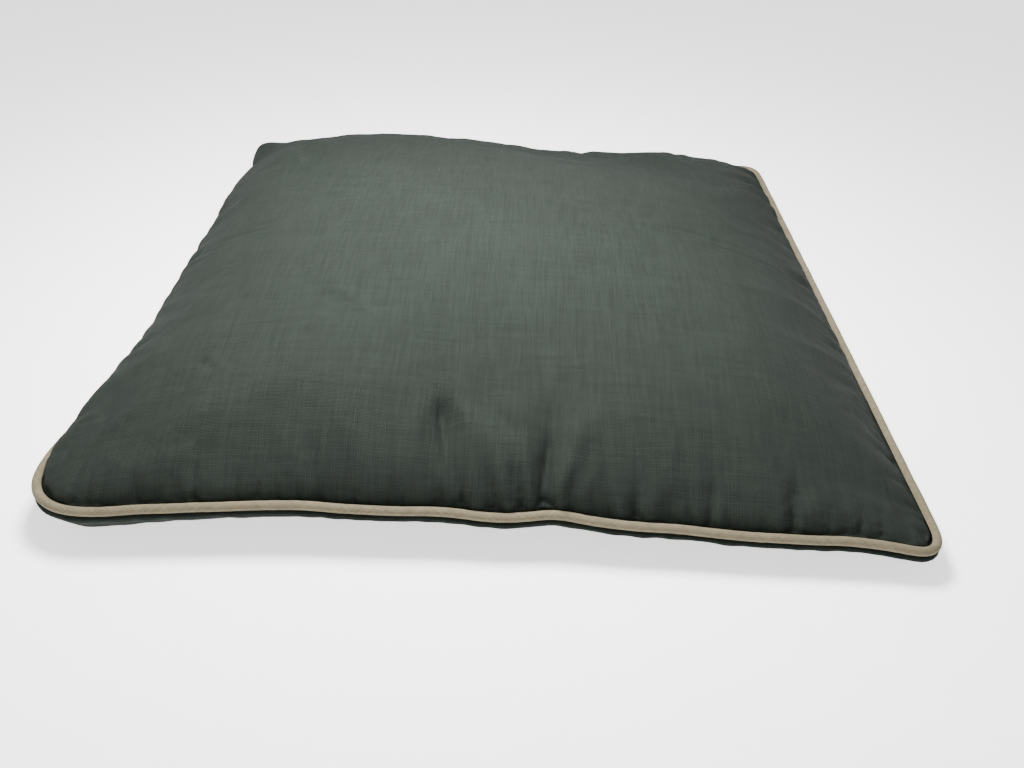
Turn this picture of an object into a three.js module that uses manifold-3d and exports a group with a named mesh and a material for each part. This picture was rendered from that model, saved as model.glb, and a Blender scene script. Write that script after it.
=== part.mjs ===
// Square floor cushion: a piped cover closed by a zip, and a filled pad inside it.
// Millimetres, +Z up. The cushion lies on z = 0 with its zip at the rear, +Y, and the origin is under
// its middle. A section through the rim is drawn in (o, z): o is the distance out from the seam line,
// and z is the height above the seam.
import * as THREE from "three";
import { ParametricGeometry } from "three/addons/geometries/ParametricGeometry.js";
import { mergeVertices } from "three/addons/utils/BufferGeometryUtils.js";
import Module from "manifold-3d";

const wasm = await Module();
wasm.setup();

// ---------- Driving dimensions ----------
const SIDE = 600; // seam line to seam line
const HEIGHT = 112; // floor to the top of the crown
const SEAM_HEIGHT = 30; // floor to the seam
const CORNER_RADIUS = 34; // of the seam line
const CROWN_POWER = 0.45; // smaller is boxier, 1 is a shallow dome

const COVER_CLOTH = 0.9;
const PIPING_CLOTH = 0.5;
const CASING_CLOTH = 0.5;
const SEAM_ALLOWANCE = 12; // cloth turned inside the seam
const CORD_RADIUS = 2.2;
const CORD_GAP = 0.5; // cord to its sleeve, wider than GAP because both are faceted
const GAP = 0.3; // between touching pieces
const FILLING_GAP = 1.5; // filling to its casing, more than GAP because the rear corners twist

const BULGE = { out: 6.9, drop: 6.6 }; // underside's widest place, past and below the seam
const BULGE_FOOT = { out: 2.5, drop: 12.5 };
const FOOT_INSET = 22; // from the seam line in to where the underside meets the floor

const PAD_EDGE = { run: 0.7, rise: 2.8 }; // the pad's first stretch out from its own seam
const PAD_SHOULDER = { out: -4, drop: 5.5 }; // its widest place, under the cover's allowances
const PAD_BEHIND_ZIP = 3.8; // cover's rear face in to the pad, clear of the slider

const ZIP_LENGTH = 450;
const ZIP_FACE = 1.6; // cover's rear face, out from the seam line
const ZIP_DROP = 15; // seam down to the zip's middle
const REAR_BAND_FOOT = 5.5; // floor to the foot of the flat band that holds the zip
const REAR_FOOT_INSET = 10;
const ZIP_SLOT_HEIGHT = 9;
const TAPE = { thickness: 0.6, width: 7.8, tail: 12 };
const TEETH = { width: 2.2, thickness: 1.6 };
const TEETH_SPACING = 1.6; // between the two rows, where the slider's post runs
const STOP = { length: 2, height: 2.4 };

const SLIDER = { length: 11, nose: 6.6, plate: 0.9, flange: 0.9, post: 1, postLength: 3 };
const BRIDGE = { span: 4.2, post: 1, width: 1.6, rise: 1.9, thickness: 1.1 };
const PULL = { bar: 1.1, length: 26, width: 6, arm: 1.2, window: 3.9, hole: 1.3 };

const CORNER_STEPS = 5;
const SIDE_STEPS = 8;

// ---------- Sizes worked out from them ----------
const half = SIDE / 2;
const crown = HEIGHT - SEAM_HEIGHT;
const fold = COVER_CLOTH / 2; // the cover's fold stands this far out from the seam line
const legOuter = GAP / 2 + PIPING_CLOTH; // top of the sleeve's upper leg, above the seam
const allowanceNear = legOuter + GAP;
const sleeveInner = CORD_RADIUS + CORD_GAP;
const sleeveOuter = sleeveInner + PIPING_CLOTH;
const pipingOut = fold + GAP + sleeveOuter; // the cord's centre, out from the seam line
const padEdge = -(SEAM_ALLOWANCE + 1.5); // the pad's seam, clear of the cover's allowances
const padGap = COVER_CLOTH + GAP;
const rearBandDrop = SEAM_HEIGHT - REAR_BAND_FOOT;
const zipHeight = SEAM_HEIGHT - ZIP_DROP;
const restX = ZIP_LENGTH / 2 - STOP.length - SLIDER.length / 2 - GAP;

// ---------- Outline and section helpers ----------
// A point at distance o out from the seam line. It is number `index` of a walk round the four corners
// and sides. Towards the middle the corners get rounder.
function outlinePoint(index, o, sideSteps) {
  const reach = half + o;
  const tight = CORNER_RADIUS - SEAM_ALLOWANCE;
  const rounded = tight + 1.5 * (-o - SEAM_ALLOWANCE);
  const radius = Math.min(o > -SEAM_ALLOWANCE ? CORNER_RADIUS + o : rounded, 0.75 * reach);
  const perCorner = CORNER_STEPS + sideSteps;
  const corner = Math.floor(index / perCorner) % 4;
  const step = index % perCorner;
  const straight = reach - radius;
  const point = new THREE.Vector2();
  if (step <= CORNER_STEPS) {
    const angle = (Math.PI / 2) * (step / CORNER_STEPS);
    point.set(straight + radius * Math.cos(angle), straight + radius * Math.sin(angle));
  } else {
    const along = (step - CORNER_STEPS) / sideSteps;
    point.set(THREE.MathUtils.lerp(straight, -straight, along), reach);
  }
  return point.rotateAround(new THREE.Vector2(), (corner * Math.PI) / 2);
}

// How far a place on the walk belongs to the rear side: 1 there, 0 on the other three, blended in the
// rear corners.
function rearShare(index, sideSteps) {
  const perCorner = CORNER_STEPS + sideSteps;
  const place = index % (4 * perCorner);
  if (place <= CORNER_STEPS) return place / CORNER_STEPS;
  if (place <= perCorner) return 1;
  return Math.max(0, 1 - (place - perCorner) / CORNER_STEPS);
}

// A polyline moved sideways by `distance`, to the left of its direction, with mitred corners. Its end
// over the cushion's middle moves straight up or down.
function parallel(points, distance) {
  const last = points.length - 1;
  const direction = (i) => {
    const [from, to] = [points[i], points[i + 1]].map((pair) => new THREE.Vector2(...pair));
    return to.sub(from).normalize();
  };
  return points.map(([o, z], i) => {
    if (o === -half) return [o, z + (i === 0 ? distance : -distance)];
    const into = direction(Math.max(i - 1, 0));
    const out = direction(Math.min(i, last - 1));
    const normal = new THREE.Vector2(-into.y - out.y, into.x + out.x).normalize();
    const stretch = normal.x * -into.y + normal.y * into.x;
    return [o + (normal.x * distance) / stretch, z + (normal.y * distance) / stretch];
  });
}

const blend = (a, b, share) =>
  a.map(([o, z], i) => [
    THREE.MathUtils.lerp(o, b[i][0], share),
    THREE.MathUtils.lerp(z, b[i][1], share),
  ]);

// A closed body made by carrying a section, drawn clockwise, round the outline. sectionAt(share) gives
// the section for that share of the rear side.
function swept(sectionAt, sideSteps) {
  const slices = 4 * (CORNER_STEPS + sideSteps);
  const sections = Array.from({ length: slices }, (_, i) => sectionAt(rearShare(i, sideSteps)));
  const stacks = sections[0].length - 1;
  const place = (u, v, target) => {
    const index = Math.round(u * slices) % slices;
    const [o, z] = sections[index][Math.round((1 - v) * stacks)];
    const { x, y } = outlinePoint(index, o, sideSteps);
    target.set(x, y, SEAM_HEIGHT + z);
  };
  return new ParametricGeometry(place, slices, stacks);
}

// ---------- Manifold helpers ----------
function toSolid(geometry) {
  const bare = geometry.clone();
  bare.deleteAttribute("normal");
  bare.deleteAttribute("uv");
  const merged = mergeVertices(bare, 1e-4);
  const vertProperties = new Float32Array(merged.attributes.position.array);
  const triVerts = new Uint32Array(merged.index.array);
  return new wasm.Manifold(new wasm.Mesh({ numProp: 3, vertProperties, triVerts }));
}

function toGeometry(solid) {
  const { vertProperties, triVerts } = solid.getMesh();
  const geometry = new THREE.BufferGeometry();
  geometry.setAttribute("position", new THREE.BufferAttribute(vertProperties, 3));
  geometry.setIndex(new THREE.BufferAttribute(triVerts, 1));
  geometry.computeVertexNormals();
  return geometry;
}

// A box by its low and high corners.
function box([x0, y0, z0], [x1, y1, z1]) {
  const geometry = new THREE.BoxGeometry(x1 - x0, y1 - y0, z1 - z0);
  return geometry.translate((x0 + x1) / 2, (y0 + y1) / 2, (z0 + z1) / 2);
}

const join = (geometries) =>
  toGeometry(geometries.map(toSolid).reduce((whole, piece) => whole.add(piece)));

// A flat outline in (x, z), given thickness from `from` to `to` along +Y.
function plateFacingRear(shape, from, to) {
  const geometry = new THREE.ExtrudeGeometry(shape, { depth: to - from, bevelEnabled: false });
  return geometry.rotateX(Math.PI / 2).translate(0, to, 0);
}

// ---------- Materials and assembly ----------
const cushion = new THREE.Group();
cushion.name = "floor_cushion";

function addPiece(name, geometry, color, roughness = 0.9, metalness = 0) {
  const material = new THREE.MeshStandardMaterial({ color, roughness, metalness });
  const mesh = new THREE.Mesh(geometry, material);
  mesh.name = name;
  cushion.add(mesh);
}

const COVER_GREEN = 0x4f5a51;
const PIPING_TAUPE = 0xa9a290;
const CALICO = 0xe6dfcc;
const FIBRE = 0xf4f2ec;
const ZIP_GREEN = 0x465048;
const ZINC = 0x8f9293;

// ---------- Cover panels ----------
const crownHeight = (inset) => crown * (1 - (1 - inset / half) ** 2) ** CROWN_POWER;

// The top panel's outer face, from the end of its seam allowance out to the fold and up to the middle.
function topFace() {
  const insets = [3, 8, 20, 40, 70, 110, 160, 220, half];
  return [
    [-SEAM_ALLOWANCE, allowanceNear],
    [fold, allowanceNear],
    [fold, allowanceNear + 2.5],
    ...insets.map((inset) => [-inset, crownHeight(inset)]),
  ];
}

// The underside's outer face, from the end of its seam allowance out round the piping and down to the
// floor. At the rear it drops straight from the seam, which makes the flat band that holds the zip.
function undersideFace(share) {
  const clear = sleeveOuter + GAP;
  const wrap = clear / Math.cos(Math.PI / 8);
  const start = [
    [-SEAM_ALLOWANCE, -allowanceNear],
    [fold, -allowanceNear],
    [pipingOut - wrap * Math.SQRT1_2, -wrap * Math.SQRT1_2],
  ];
  const round = [
    [pipingOut, -wrap],
    [BULGE.out - 0.5, -wrap - 0.9],
    [BULGE.out, -BULGE.drop],
    [BULGE_FOOT.out, -BULGE_FOOT.drop],
    [-FOOT_INSET, -SEAM_HEIGHT],
  ];
  const flat = [
    [ZIP_FACE, -wrap - 0.4],
    [ZIP_FACE, -wrap - 1.4],
    [ZIP_FACE, -BULGE.drop - 0.4],
    [ZIP_FACE, -rearBandDrop],
    [-REAR_FOOT_INSET, -SEAM_HEIGHT],
  ];
  return [...start, ...blend(round, flat, share), [-half, -SEAM_HEIGHT]];
}

// A sheet of cloth with the given outer face; `inward` is the side its thickness lies on.
const shell = (face, inward) => [...face].reverse().concat(parallel(face, inward));

const topPanel = swept(() => shell(topFace(), COVER_CLOTH), SIDE_STEPS);
addPiece("top_panel", topPanel, COVER_GREEN);

const undersidePanel = swept((share) => shell(undersideFace(share), -COVER_CLOTH).reverse(), SIDE_STEPS);
const zipSlot = box(
  [-ZIP_LENGTH / 2 - STOP.length, half - 1, zipHeight - ZIP_SLOT_HEIGHT / 2],
  [ZIP_LENGTH / 2 + STOP.length, half + 4, zipHeight + ZIP_SLOT_HEIGHT / 2],
);
const slottedUnderside = toSolid(undersidePanel).subtract(toSolid(zipSlot));
addPiece("underside_panel", toGeometry(slottedUnderside), COVER_GREEN);

// ---------- Piping ----------
function arcPoints(radius, from, to, steps) {
  return Array.from({ length: steps + 1 }, (_, i) => {
    const angle = THREE.MathUtils.lerp(from, to, i / steps);
    return [pipingOut + radius * Math.cos(angle), radius * Math.sin(angle)];
  });
}

// A bias strip wrapped round the cord, with two legs that run in between the panels' allowances.
function sleeveSection() {
  const outerStart = Math.PI - Math.asin(legOuter / sleeveOuter);
  const innerStart = Math.PI - Math.asin(GAP / 2 / sleeveInner);
  return [
    [-SEAM_ALLOWANCE, legOuter],
    ...arcPoints(sleeveOuter, outerStart, -outerStart, 9),
    [-SEAM_ALLOWANCE, -legOuter],
    [-SEAM_ALLOWANCE, -GAP / 2],
    ...arcPoints(sleeveInner, -innerStart, innerStart, 8),
    [-SEAM_ALLOWANCE, GAP / 2],
    [-SEAM_ALLOWANCE, legOuter],
  ];
}

const cordSection = () => arcPoints(CORD_RADIUS, Math.PI, -Math.PI, 8);

addPiece("piping_sleeve", swept(sleeveSection, 1), PIPING_TAUPE, 0.85);
addPiece("piping_cord", swept(cordSection, 1), FIBRE);

// ---------- Pad inside the cover ----------
// The pad's outer face above its own seam, and below it. Each runs from the seam to the middle.
function padUpperFace() {
  const against = parallel(topFace(), padGap).slice(4);
  return [[padEdge, GAP / 2], [padEdge + PAD_EDGE.run, PAD_EDGE.rise], ...against];
}

function padLowerFace(share) {
  const floor = -SEAM_HEIGHT + padGap + 0.1;
  const start = [
    [padEdge, -GAP / 2],
    [padEdge + PAD_EDGE.run, -PAD_EDGE.rise],
    [PAD_SHOULDER.out, -PAD_SHOULDER.drop],
  ];
  const round = [
    [BULGE_FOOT.out - 1, -BULGE_FOOT.drop + 1],
    [-FOOT_INSET - 0.6, floor],
  ];
  const rear = [
    [ZIP_FACE - PAD_BEHIND_ZIP, -rearBandDrop + 1],
    [-REAR_FOOT_INSET - 1, floor],
  ];
  return [...start, ...blend(round, rear, share), [-half, floor]];
}

const casingUpper = swept(() => shell(padUpperFace(), CASING_CLOTH), SIDE_STEPS);
const casingLower = swept((share) => shell(padLowerFace(share), -CASING_CLOTH).reverse(), SIDE_STEPS);
addPiece("pad_casing_upper", casingUpper, CALICO);
addPiece("pad_casing_lower", casingLower, CALICO);

const fillingFace = (share) =>
  parallel([...padUpperFace().reverse(), ...padLowerFace(share)], -CASING_CLOTH - FILLING_GAP);
addPiece("pad_filling", swept(fillingFace, SIDE_STEPS), FIBRE, 1);

// ---------- Zip ----------
const face = half + ZIP_FACE;
const tapeOuter = face - COVER_CLOTH - GAP;
const tapeInner = tapeOuter - TAPE.thickness;
const teethInner = tapeOuter + GAP;
const teethOuter = teethInner + TEETH.thickness;
const firstTooth = TEETH_SPACING / 2;

for (const [side, sign] of [["upper", 1], ["lower", -1]]) {
  const strip = (length, near, width, inner, outer) => {
    const [low, high] = [sign * near, sign * (near + width)].sort((a, b) => a - b);
    return box([-length / 2, inner, zipHeight + low], [length / 2, outer, zipHeight + high]);
  };
  const tapeLength = ZIP_LENGTH + 2 * TAPE.tail;
  const tape = strip(tapeLength, firstTooth, TAPE.width, tapeInner, tapeOuter);
  const teeth = strip(ZIP_LENGTH, firstTooth, TEETH.width, teethInner, teethOuter);
  addPiece(`zip_tape_${side}`, tape, ZIP_GREEN);
  addPiece(`zip_teeth_${side}`, teeth, ZIP_GREEN, 0.4);

  const [low, high] = [sign * firstTooth, sign * (firstTooth + STOP.height)].sort((a, b) => a - b);
  const stopStart = ZIP_LENGTH / 2 + GAP;
  const stop = box(
    [stopStart, teethInner, zipHeight + low],
    [stopStart + STOP.length - 2 * GAP, teethOuter, zipHeight + high],
  );
  addPiece(`zip_top_stop_${side}`, stop, ZINC, 0.4, 1);
}

const bottomStopReach = firstTooth + TEETH.width;
const bottomStop = box(
  [-ZIP_LENGTH / 2 - STOP.length + GAP, teethInner, zipHeight - bottomStopReach],
  [-ZIP_LENGTH / 2 - GAP, teethOuter, zipHeight + bottomStopReach],
);
addPiece("zip_bottom_stop", bottomStop, ZINC, 0.4, 1);

// The slider's two plates hold the chain between them. Its post runs between the rows, its flanges run
// outside them, and the bridge on its face holds the pull.
const plateInner = teethOuter + GAP;
const plateOuter = plateInner + SLIDER.plate;
const sliderHalf = firstTooth + TEETH.width + GAP + SLIDER.flange;
const pullAxis = plateOuter + BRIDGE.rise / 2;

function sliderOutline(wide, nose) {
  const reach = SLIDER.length / 2;
  const shape = new THREE.Shape();
  shape.moveTo(-reach, -nose / 2);
  shape.lineTo(-reach, nose / 2);
  shape.lineTo(-reach / 3, wide);
  shape.lineTo(reach, wide);
  shape.lineTo(reach, -wide);
  shape.lineTo(-reach / 3, -wide);
  return shape;
}

function sliderGeometry() {
  const reach = SLIDER.length / 2;
  const under = tapeInner - GAP;
  const halfPost = SLIDER.post / 2;
  const flangeInner = sliderHalf - SLIDER.flange;
  const halfSpan = BRIDGE.span / 2;
  const halfWidth = BRIDGE.width / 2;
  const bridgeBase = plateOuter + BRIDGE.rise;
  const bridgeEnd = halfSpan + BRIDGE.post;
  const bridgePost = (x) =>
    box([x, plateOuter - 0.1, -halfWidth], [x + BRIDGE.post, bridgeBase + 0.1, halfWidth]);
  const flange = (z) =>
    box([-reach / 3, teethInner, z], [reach, plateInner + 0.1, z + SLIDER.flange]);
  return join([
    plateFacingRear(sliderOutline(sliderHalf, SLIDER.nose), plateInner, plateOuter),
    plateFacingRear(sliderOutline(flangeInner, SLIDER.nose - 1), under - SLIDER.plate, under),
    box(
      [reach - SLIDER.postLength, under - 0.1, -halfPost],
      [reach, plateInner + 0.1, halfPost],
    ),
    flange(flangeInner),
    flange(-sliderHalf),
    bridgePost(-bridgeEnd),
    bridgePost(halfSpan),
    box([-bridgeEnd, bridgeBase, -halfWidth], [bridgeEnd, bridgeBase + BRIDGE.thickness, halfWidth]),
  ]);
}

// The pull turns on a bar that is one side of its window; the bridge passes through the window.
function pullGeometry() {
  const halfBar = PULL.bar / 2;
  const halfWidth = PULL.width / 2;
  const windowHalf = BRIDGE.width / 2 + 0.4;
  const outer = new THREE.Shape();
  outer.moveTo(halfBar, -windowHalf - PULL.arm);
  outer.lineTo(halfBar, windowHalf + PULL.arm);
  outer.lineTo(-PULL.window, windowHalf + PULL.arm);
  outer.lineTo(-PULL.window - 1.5, halfWidth);
  outer.lineTo(-PULL.length + halfWidth, halfWidth);
  outer.absarc(-PULL.length + halfWidth, 0, halfWidth, Math.PI / 2, (3 * Math.PI) / 2, false);
  outer.lineTo(-PULL.window - 1.5, -halfWidth);
  outer.lineTo(-PULL.window, -windowHalf - PULL.arm);
  const window = new THREE.Path();
  window.moveTo(-halfBar, -windowHalf);
  window.lineTo(-PULL.window, -windowHalf);
  window.lineTo(-PULL.window, windowHalf);
  window.lineTo(-halfBar, windowHalf);
  const hole = new THREE.Path();
  hole.absarc(-PULL.length + halfWidth, 0, PULL.hole, 0, 2 * Math.PI, false);
  outer.holes.push(window, hole);
  const settings = { depth: PULL.bar, bevelEnabled: false, curveSegments: 8 };
  const geometry = new THREE.ExtrudeGeometry(outer, settings);
  return geometry.rotateX(Math.PI / 2).translate(0, pullAxis + halfBar, 0);
}

const atSlider = (geometry) => geometry.translate(restX, 0, zipHeight);
addPiece("zip_slider", atSlider(sliderGeometry()), ZINC, 0.35, 1);
addPiece("zip_pull", atSlider(pullGeometry()), ZINC, 0.35, 1);

export default cushion;
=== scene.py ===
"""Square floor cushion: a piped linen cover with a zip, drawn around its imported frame.

Everything is in metres, +Z up, with the zip at the rear, +Y. The cushion lies on z = 0.
"""

import math

import bpy
import numpy as np
from mathutils import Matrix, Vector


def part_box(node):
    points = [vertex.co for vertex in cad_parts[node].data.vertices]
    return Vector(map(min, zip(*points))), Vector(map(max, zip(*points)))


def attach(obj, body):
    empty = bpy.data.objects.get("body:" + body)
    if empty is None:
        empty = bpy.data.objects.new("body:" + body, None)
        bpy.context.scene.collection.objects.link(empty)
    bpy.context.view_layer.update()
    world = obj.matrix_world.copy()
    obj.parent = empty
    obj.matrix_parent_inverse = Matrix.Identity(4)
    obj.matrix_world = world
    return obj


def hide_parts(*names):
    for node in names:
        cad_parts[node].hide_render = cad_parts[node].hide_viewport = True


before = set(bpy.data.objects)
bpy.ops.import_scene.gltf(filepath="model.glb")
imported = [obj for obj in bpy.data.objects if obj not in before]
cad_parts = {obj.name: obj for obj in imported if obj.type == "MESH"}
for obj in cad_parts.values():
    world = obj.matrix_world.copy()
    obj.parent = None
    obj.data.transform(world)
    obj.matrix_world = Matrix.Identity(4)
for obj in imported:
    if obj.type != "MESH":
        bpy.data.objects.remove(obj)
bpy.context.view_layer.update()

MM = 0.001
TAU = 2 * math.pi

# ---------- Sizes taken from the frame ----------
panel_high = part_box("top_panel")[1]
sleeve_low, sleeve_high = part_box("piping_sleeve")
cord_low, cord_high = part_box("piping_cord")
tape_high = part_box("zip_tape_upper")[1]
teeth_low, teeth_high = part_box("zip_teeth_upper")
lower_teeth_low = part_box("zip_teeth_lower")[0]
underside_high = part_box("underside_panel")[1]

FOLD = 0.45 * MM  # the cover's fold stands this far outside the seam line
HALF = panel_high.x - FOLD  # middle of the cushion to the seam line
SEAM_Z = (sleeve_low.z + sleeve_high.z) / 2
PIPING_RADIUS = (sleeve_high.z - sleeve_low.z) / 2
CORD_RADIUS = (cord_high.z - cord_low.z) / 2
PIPING_OUT = sleeve_high.x - PIPING_RADIUS - HALF  # seam line out to the piping's centre
CROWN = panel_high.z - SEAM_Z
ZIP_Z = (lower_teeth_low.z + teeth_high.z) / 2
ZIP_FACE = underside_high.y - HALF  # cover's rear face, out from the seam line
SLOT_HALF_LENGTH = teeth_high.x + 2 * MM
SLOT_HALF_HEIGHT = 4.5 * MM

# ---------- Sizes of the sewn cover ----------
CORNER_CUT = 1 / 28  # share of the half side that a corner's rounding takes off, on average
LEFT_IS_ROUNDER = 0.5  # corners on the left are cut more by this share, and those on the right less
ALLOWANCE = 12 * MM
CLOTH_LIFT = 0.95 * MM  # how far each panel's allowance lies above or below the piping's middle
THREAD = 1.1 * MM  # cover's thread spacing, drawn a little coarse so that the weave shows
PIPING_THREAD = 0.9 * MM

GRID = 150  # cells along a side while the cloth is simulated, an even number
SIMULATED_STEPS = 14
SLOW_SHAPE = 60  # rounds of averaging that leave only the simulation's broad bulge, which is dropped
SIMULATED_SHARE = 0.38  # how much of the simulation's movement is kept
LARGEST_MOVE = 6 * MM  # the furthest that the simulation may move a point
STILL_NEAR_SEAM = 16 * MM  # the simulation's movement fades out over this distance


# ---------- Colours and nodes ----------
def linear(hex_colour):
    """An sRGB colour, such as "#a0b0c0", as a linear RGBA value."""
    parts = [int(hex_colour[i : i + 2], 16) / 255 for i in (1, 3, 5)]
    return [p / 12.92 if p <= 0.04045 else ((p + 0.055) / 1.055) ** 2.4 for p in parts] + [1]


def add(tree, kind, inputs=(), output=0, stops=(), **settings):
    """Adds a node with its settings, its input values or links and any ramp's stops, and returns one
    of its outputs."""
    made = tree.nodes.new(kind)
    for name, value in settings.items():
        setattr(made, name, value)
    for key, value in dict(inputs).items():
        if isinstance(value, bpy.types.NodeSocket):
            tree.links.new(value, made.inputs[key])
        else:
            made.inputs[key].default_value = value
    for index, (position, colour) in enumerate(stops):
        elements = made.color_ramp.elements
        element = elements[index] if index < len(elements) else elements.new(position)
        element.position, element.color = position, linear(colour)
    return made.outputs[output] if made.outputs else made


def finish_named(name, roughness, **shader_values):
    """An empty node material, its tree and its Principled shader."""
    made = bpy.data.materials.new(name)
    made.use_nodes = True
    shader = made.node_tree.nodes["Principled BSDF"]
    shader.inputs["Roughness"].default_value = roughness
    for key, value in shader_values.items():
        shader.inputs[key.replace("_", " ")].default_value = value
    return made, made.node_tree, shader


def plain_weave(tree, spacing, turn):
    """Height and per-thread shade of a plain weave on the piece's cloth coordinates, which are metres.

    Each thread is round across and dips under its neighbours in turn. Slow noise bends the threads, as
    in hand-spun yarn.
    """
    cloth = add(tree, "ShaderNodeUVMap", uv_map="cloth")
    drift = add(tree, "ShaderNodeTexNoise", {"Vector": cloth, "Scale": 60.0, "Detail": 2.0},
                output="Color")
    bent = add(tree, "ShaderNodeVectorMath", {0: drift, 1: (0.0016, 0.0016, 0), 2: cloth},
               operation="MULTIPLY_ADD")
    place = add(tree, "ShaderNodeMapping", {"Vector": bent, "Scale": (1 / spacing, 1 / spacing, 1),
                                            "Rotation": (0, 0, turn)})
    own = add(tree, "ShaderNodeVectorMath", {0: place}, operation="FLOOR")
    rounded = add(tree, "ShaderNodeVectorMath", {0: place, 1: (math.pi,) * 3}, operation="MULTIPLY")
    for step in ("SINE", "ABSOLUTE"):
        rounded = add(tree, "ShaderNodeVectorMath", {0: rounded}, operation=step)
    x, y = (add(tree, "ShaderNodeSeparateXYZ", {0: place}, output=k) for k in (0, 1))
    column, row = (add(tree, "ShaderNodeSeparateXYZ", {0: own}, output=k) for k in (0, 1))
    along = add(tree, "ShaderNodeCombineXYZ", {0: y, 1: x})
    phase = add(tree, "ShaderNodeVectorMath", {0: along, 1: own}, operation="ADD")
    for other, step in (((0, 1, 0), "ADD"), ((math.pi,) * 3, "MULTIPLY")):
        phase = add(tree, "ShaderNodeVectorMath", {0: phase, 1: other}, operation=step)
    dips = add(tree, "ShaderNodeVectorMath", {0: phase}, operation="SINE")
    above = add(tree, "ShaderNodeVectorMath", {0: dips, 1: (0.4,) * 3, 2: (0.6,) * 3},
                operation="MULTIPLY_ADD")
    heights = add(tree, "ShaderNodeVectorMath", {0: rounded, 1: above}, operation="MULTIPLY")
    warp, weft = (add(tree, "ShaderNodeSeparateXYZ", {0: heights}, output=k) for k in (0, 1))
    warp_on_top = add(tree, "ShaderNodeMath", {0: warp, 1: weft}, operation="GREATER_THAN")
    height = add(tree, "ShaderNodeMath", {0: warp, 1: weft}, operation="MAXIMUM")
    shades = []
    for thread, run, offset in ((row, x, 17.3), (column, y, 0.6)):
        slow = add(tree, "ShaderNodeMath", {0: run, 1: 0.045}, operation="MULTIPLY")
        strand = add(tree, "ShaderNodeCombineXYZ", {0: thread, 1: slow, 2: offset})
        shades.append(add(tree, "ShaderNodeTexNoise", {"Vector": strand, "Scale": 0.83, "Detail": 1.0}))
    shade = add(tree, "ShaderNodeMix", {0: warp_on_top, 2: shades[0], 3: shades[1]}, data_type="FLOAT")
    return cloth, height, shade, warp_on_top


def woven(name, warp, weft, gap, spacing, depth, roughness, turn=0.0, sheen=0.02, handled=0.06):
    """Matte plain weave in a shade for each thread, darker between threads and a little uneven."""
    made, tree, shader = finish_named(name, roughness, Specular_IOR_Level=0.08, Sheen_Weight=sheen,
                                      Sheen_Roughness=0.6)
    cloth, height, shade, warp_on_top = plain_weave(tree, spacing, turn)
    of_colours = {"output": 2, "data_type": "RGBA"}
    thread = add(tree, "ShaderNodeMix", {0: warp_on_top, 6: linear(weft), 7: linear(warp)}, **of_colours)
    tones = add(tree, "ShaderNodeValToRGB", {"Fac": shade}, stops=((0.3, "#7a7a7a"), (0.7, "#dadada")))
    slubbed = add(tree, "ShaderNodeMix", {0: 0.45, 6: thread, 7: tones}, blend_type="OVERLAY",
                  **of_colours)
    covered = add(tree, "ShaderNodeMapRange", {"Value": height, "From Min": 0.15, "From Max": 0.6})
    base = add(tree, "ShaderNodeMix", {0: covered, 6: linear(gap), 7: slubbed}, **of_colours)
    patches = add(tree, "ShaderNodeTexNoise", {"Vector": cloth, "Scale": 7.0, "Detail": 3.0})
    value = add(tree, "ShaderNodeMapRange", {"Value": patches, "From Min": 0.3, "From Max": 0.7,
                                             "To Min": 1 - handled, "To Max": 1 + handled})
    worn = add(tree, "ShaderNodeHueSaturation", {"Color": base, "Value": value})
    tree.links.new(worn, shader.inputs["Base Color"])
    fuzz = add(tree, "ShaderNodeTexNoise", {"Vector": cloth, "Scale": 2600.0, "Detail": 2.0})
    surface = add(tree, "ShaderNodeMath", {0: fuzz, 1: 0.25, 2: height}, operation="MULTIPLY_ADD")
    bump = add(tree, "ShaderNodeBump", {"Height": surface, "Strength": 0.85, "Distance": depth})
    tree.links.new(bump, shader.inputs["Normal"])
    return made


def linen_cover():
    """Linen and cotton plain weave, dyed slate green: matte and slubby, a shade for each thread."""
    return woven("slate_green_linen", "#252a26", "#212622", "#151916", THREAD, 0.3 * MM, 0.92,
                 sheen=0.0)


def bias_cotton():
    """Cotton poplin cut on the bias, undyed taupe: pale, with its threads at 45 degrees to the edge."""
    return woven("taupe_bias_cotton", "#716956", "#68604e", "#494234", PIPING_THREAD, 0.2 * MM, 0.85,
                 turn=math.radians(45), handled=0.04)


def calico():
    """Unbleached cotton calico: cream, with an even, slightly open weave."""
    return woven("unbleached_calico", "#e6dcc3", "#ddd2b6", "#b3a685", 0.8 * MM, 0.15 * MM, 0.9,
                 handled=0.03)


def two_toned(tree, shader, pattern, stops, strength, depth):
    """Colours the shader by a pattern, from dark to light, and raises it by the same pattern."""
    tone = add(tree, "ShaderNodeValToRGB", {"Fac": pattern}, stops=stops)
    tree.links.new(tone, shader.inputs["Base Color"])
    bump = add(tree, "ShaderNodeBump", {"Height": pattern, "Strength": strength, "Distance": depth})
    tree.links.new(bump, shader.inputs["Normal"])


def filament_finish(name, light, dark, size, roughness, depth, stretch=(1, 1, 1)):
    """A noise of two tones with a matching bump, for twisted, spun or cast surfaces."""
    made, tree, shader = finish_named(name, roughness)
    place = add(tree, "ShaderNodeTexCoord", output="Object")
    placed = add(tree, "ShaderNodeMapping", {"Vector": place, "Scale": stretch})
    grain = add(tree, "ShaderNodeTexNoise", {"Vector": placed, "Scale": 1 / size, "Detail": 5.0,
                                             "Roughness": 0.6})
    two_toned(tree, shader, grain, ((0.34, dark), (0.64, light)), 0.5, depth)
    return made, tree, shader, grain


def polyester_fibre():
    """Spun hollow-fibre polyester: white, soft, with faint shadow between the strands."""
    made, _, shader, _ = filament_finish("hollow_fibre", "#f6f6f2", "#d9d9d3", 7 * MM, 1.0, 2 * MM)
    shader.inputs["Sheen Weight"].default_value = 0.3
    shader.inputs["Specular IOR Level"].default_value = 0.15
    return made


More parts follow.
